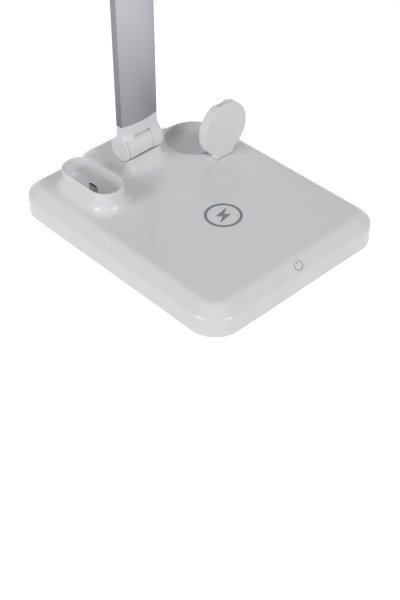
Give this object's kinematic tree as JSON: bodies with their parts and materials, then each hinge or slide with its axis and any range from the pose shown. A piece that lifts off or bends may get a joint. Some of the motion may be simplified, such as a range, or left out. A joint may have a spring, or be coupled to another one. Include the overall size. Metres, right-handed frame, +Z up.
{
  "type": "desk lamp",
  "caption": "Folding desk lamp on a flat charging base, with an earbud cup and a watch stand that folds up out of its own pocket.",
  "frame": {"origin": "middle of the rectangular base on the plane that its grip ring stands on", "axes": "+Z up, -Y towards the front edge where the power mark is, +X to the side of the watch stand"},
  "size_m": [0.16, 0.3277, 0.3482],
  "materials": {
    "white_shell": "satin moulded plastic",
    "hinge_white": "satin moulded plastic",
    "base_plastic": "matte moulded plastic",
    "grip_rubber": "matte rubber",
    "screw_steel": "zinc plated",
    "ballast_steel": "bare rolled steel",
    "circuit_board": "glass-fibre board with green mask",
    "chip_black": "moulded components",
    "ferrite": "sintered ferrite, matte",
    "copper": "enamelled copper",
    "plug_metal": "plated shell",
    "satin_aluminium": "sandblasted and anodised",
    "cable_black": "soft sheath",
    "led_board_white": "white mask",
    "led_yellow": "phosphor gel",
    "diffuser": "opal sheet"
  },
  "bodies": {
    "base": {"base_cover": "white_shell", "base_plate": "base_plastic", "grip_ring": "grip_rubber", "base_screws": "screw_steel", "ballast_plate": "ballast_steel", "control_board": "circuit_board", "board_parts": "chip_black", "ferrite_sheet": "ferrite", "charging_coil": "copper", "touch_sensor": "copper", "inlet_board": "circuit_board", "power_inlet": "plug_metal", "dock_plug": "plug_metal", "dock_plug_holder": "base_plastic", "hinge_knuckle": "hinge_white", "knuckle_screws": "screw_steel", "stand_pin": "screw_steel"},
    "arm": {"lower_bracket": "hinge_white", "lower_shaft": "screw_steel", "lower_washers": "screw_steel", "lower_nut": "screw_steel", "lower_cap_left": "hinge_white", "lower_cap_right": "hinge_white", "arm_tube": "satin_aluminium", "arm_cable": "cable_black", "arm_screws": "screw_steel", "upper_bracket": "hinge_white", "upper_shaft": "screw_steel", "upper_washers": "screw_steel", "upper_nut": "screw_steel", "upper_cap_left": "hinge_white", "upper_cap_right": "hinge_white"},
    "head": {"head_knuckle": "hinge_white", "head_housing": "satin_aluminium", "head_end_cap": "hinge_white", "led_board": "led_board_white", "led_chips": "led_yellow", "head_diffuser": "diffuser", "head_screws": "screw_steel"},
    "watch_stand": {"stand_front": "white_shell", "stand_back": "white_shell", "watch_coil": "copper", "watch_magnet": "plug_metal", "stand_screws": "screw_steel"}
  },
  "joints": [
    {"name": "arm_fold", "type": "hinge", "parent": "base", "child": "arm", "pos_m": [0, 0.061, 0.0386], "axis": [1, 0, 0], "range_deg": [-15, 90]},
    {"name": "head_turn", "type": "hinge", "parent": "arm", "child": "head", "pos_m": [0, 0.0567, 0.3386], "axis": [1, 0, 0], "range_deg": [-90, 90]},
    {"name": "stand_fold", "type": "hinge", "parent": "base", "child": "watch_stand", "pos_m": [0.0495, 0.0274, 0.0165], "axis": [-1, 0, 0], "range_deg": [0, 90]}
  ]
}
